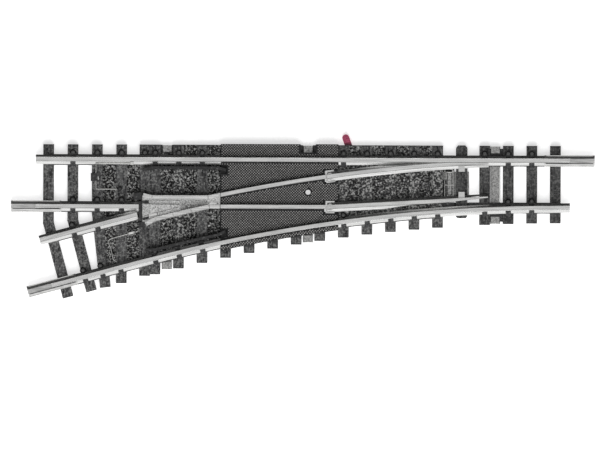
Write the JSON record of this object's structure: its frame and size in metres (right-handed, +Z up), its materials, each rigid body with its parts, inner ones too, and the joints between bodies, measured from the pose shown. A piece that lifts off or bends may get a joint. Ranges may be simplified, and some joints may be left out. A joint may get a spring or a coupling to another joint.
{
  "type": "model railway turnout",
  "caption": "Left-hand model railway turnout with a moulded ballast bed, metal rails, moving blades and a hand lever.",
  "frame": {"origin": "half way along the straight route, on its centre line, at the underside", "axes": "+X along the straight route towards the blade tips, +Y towards the lever, +Z up"},
  "size_m": [0.123, 0.0349, 0.0043],
  "materials": {
    "bed_plastic": "matte, moulded texture",
    "black_plastic": "satin",
    "rail_metal": "bright drawn metal",
    "cast_metal": "as cast, grainy",
    "strap_metal": "rolled sheet",
    "spring_wire": "bright",
    "pin_steel": "turned",
    "lever_plastic": "satin"
  },
  "bodies": {
    "base": {"base_moulding": "bed_plastic", "centre_panel": "bed_plastic", "straight_stock_rail": "rail_metal", "curved_stock_rail": "rail_metal", "straight_closure_rail": "rail_metal", "curved_closure_rail": "rail_metal", "straight_exit_rail": "rail_metal", "diverging_exit_rail": "rail_metal", "frog_casting": "cast_metal", "wing_insulators": "black_plastic", "nose_insulator": "black_plastic", "upper_check_rail": "black_plastic", "lower_check_rail": "black_plastic", "toe_joiner": "rail_metal", "straight_exit_joiner": "rail_metal", "diverging_exit_joiner": "rail_metal", "toe_contact_strap": "strap_metal", "centre_contact_strap": "strap_metal", "frog_contact_strap": "strap_metal", "upper_jumper_wire": "spring_wire", "lower_jumper_wire": "spring_wire", "jumper_knob": "black_plastic", "jumper_latch": "black_plastic", "upper_heel_clip": "rail_metal", "lower_heel_clip": "rail_metal", "heel_pins": "pin_steel", "retaining_wire": "spring_wire", "bottom_cover": "bed_plastic", "cover_rivets": "pin_steel", "lever_pivot_pin": "pin_steel"},
    "hand_lever": {"hand_lever": "lever_plastic"},
    "drive_plate": {"drive_plate": "strap_metal", "drive_peg": "pin_steel"},
    "tie_bar": {"tie_bar": "bed_plastic"},
    "curved_blade": {"curved_blade": "rail_metal", "curved_blade_lug": "rail_metal"},
    "straight_blade": {"straight_blade": "rail_metal", "straight_blade_lug": "rail_metal"}
  },
  "joints": [
    {"name": "drive_slide", "type": "slide", "parent": "base", "child": "drive_plate", "axis": [-1, 0, 0], "range_m": [0, 0.00198]},
    {"name": "lever_turn", "type": "hinge", "parent": "base", "child": "hand_lever", "pos_m": [0.01006, 0.00687, 0.0007], "axis": [0, 0, -1], "range_deg": [0, 40]},
    {"name": "tie_bar_slide", "type": "slide", "parent": "base", "child": "tie_bar", "axis": [0, -1, 0], "range_m": [0, 0.0016]},
    {"name": "curved_blade_turn", "type": "hinge", "parent": "base", "child": "curved_blade", "pos_m": [0.00575, 0.00153, 0.0022], "axis": [0, 0, -1], "range_deg": [0, 3.3]},
    {"name": "straight_blade_turn", "type": "hinge", "parent": "base", "child": "straight_blade", "pos_m": [0.00575, -0.00495, 0.0022], "axis": [0, 0, -1], "range_deg": [0, 3.3]}
  ],
  "couplings": [
    {"joint": "lever_turn", "follows": "drive_slide", "rad_per_m": 351.93},
    {"joint": "tie_bar_slide", "follows": "drive_slide", "ratio": 0.8041},
    {"joint": "curved_blade_turn", "follows": "drive_slide", "rad_per_m": 29.034},
    {"joint": "straight_blade_turn", "follows": "drive_slide", "rad_per_m": 29.034}
  ]
}
